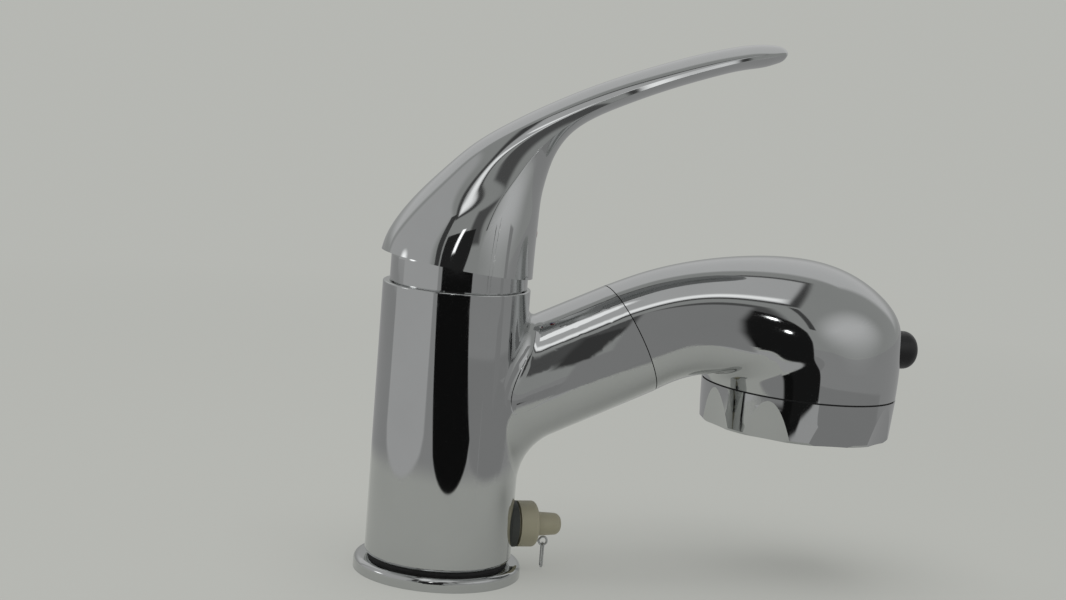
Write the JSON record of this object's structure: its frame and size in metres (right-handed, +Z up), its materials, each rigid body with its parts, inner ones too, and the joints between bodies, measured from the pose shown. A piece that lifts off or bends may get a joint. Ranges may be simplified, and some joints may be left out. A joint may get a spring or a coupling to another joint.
{
  "type": "basin mixer tap",
  "caption": "Single-lever basin mixer tap with a round base, a rising spout and a pull-out spray head with a diverter button.",
  "frame": {"origin": "centre of the base ring's underside, on the deck", "axes": "+Z up the body, +X out along the spout, +Y to the left seen from behind the tap"},
  "size_m": [0.1813, 0.0628, 0.1696],
  "materials": {
    "chromed_body": "polished",
    "chromed_lever": "polished",
    "chromed_head": "polished",
    "seal_rubber": "matte",
    "white_plastic": "satin",
    "grey_plastic": "satin",
    "disc_ceramic": "satin",
    "plain_brass": "satin",
    "plain_steel": "satin",
    "index_red_blue": "gloss",
    "nozzle_rubber": "matte",
    "button_black": "satin",
    "anchor_cream": "satin",
    "anchor_grey": "matte"
  },
  "bodies": {
    "tap_body": {"body_casting": "chromed_body", "base_ring": "chromed_body", "deck_seal": "seal_rubber", "base_gasket": "seal_rubber", "cartridge_seals": "seal_rubber", "cartridge_base": "white_plastic", "fixed_disc": "disc_ceramic", "cartridge_housing": "white_plastic", "cartridge_nut": "plain_brass", "cartridge_collar": "chromed_body", "docking_sleeve": "white_plastic", "mouth_seal": "seal_rubber", "anchor_flange": "anchor_grey", "chain_anchor": "anchor_cream", "anchor_eye": "plain_steel"},
    "swivel": {"lever_carrier": "white_plastic", "stem_pin": "plain_steel"},
    "lever": {"lever_stem": "plain_steel", "lever_handle": "chromed_lever", "grub_screw": "plain_steel", "index_button": "index_red_blue"},
    "disc": {"moving_disc": "disc_ceramic", "disc_coupler": "white_plastic"},
    "spray_head": {"head_shell": "chromed_head", "head_shank": "plain_brass", "shank_seal": "seal_rubber", "inlet_filter": "plain_steel", "check_valve": "white_plastic", "waterway": "grey_plastic", "diverter_body": "grey_plastic", "head_gasket": "seal_rubber", "spray_ring": "chromed_head", "spray_plate": "grey_plastic", "spray_nozzles": "nozzle_rubber", "aerator_sleeve": "chromed_head", "aerator_screen": "plain_steel"},
    "button": {"diverter_button": "button_black", "diverter_spindle": "grey_plastic", "diverter_spring": "plain_steel"},
    "link": {"chain_link": "plain_steel"}
  },
  "joints": [
    {"name": "lever_swivel", "type": "hinge", "parent": "tap_body", "child": "swivel", "pos_m": [0, 0, 0.094], "axis": [0, 0, 1], "range_deg": [-50, 50]},
    {"name": "lever_lift", "type": "hinge", "parent": "swivel", "child": "lever", "pos_m": [0, 0, 0.094], "axis": [0, -1, 0], "range_deg": [0, 20]},
    {"name": "disc_slide", "type": "slide", "parent": "swivel", "child": "disc", "axis": [1, 0, 0], "range_m": [0, 0.005]},
    {"name": "head_pull", "type": "slide", "parent": "tap_body", "child": "spray_head", "axis": [0.8829, 0, 0.4695], "range_m": [0, 0.06]},
    {"name": "diverter_press", "type": "slide", "parent": "spray_head", "child": "button", "axis": [-1, 0, 0], "range_m": [0, 0.003], "stiffness_N_per_m": 800, "springref_m": -0.002, "deforming": ["diverter_spring"]},
    {"name": "link_swing", "type": "hinge", "parent": "tap_body", "child": "link", "pos_m": [0.0338, 0, 0.00915], "axis": [0, 1, 0], "range_deg": [-50, 50]}
  ],
  "couplings": [
    {"joint": "disc_slide", "follows": "lever_lift", "m_per_rad": 0.01382}
  ]
}
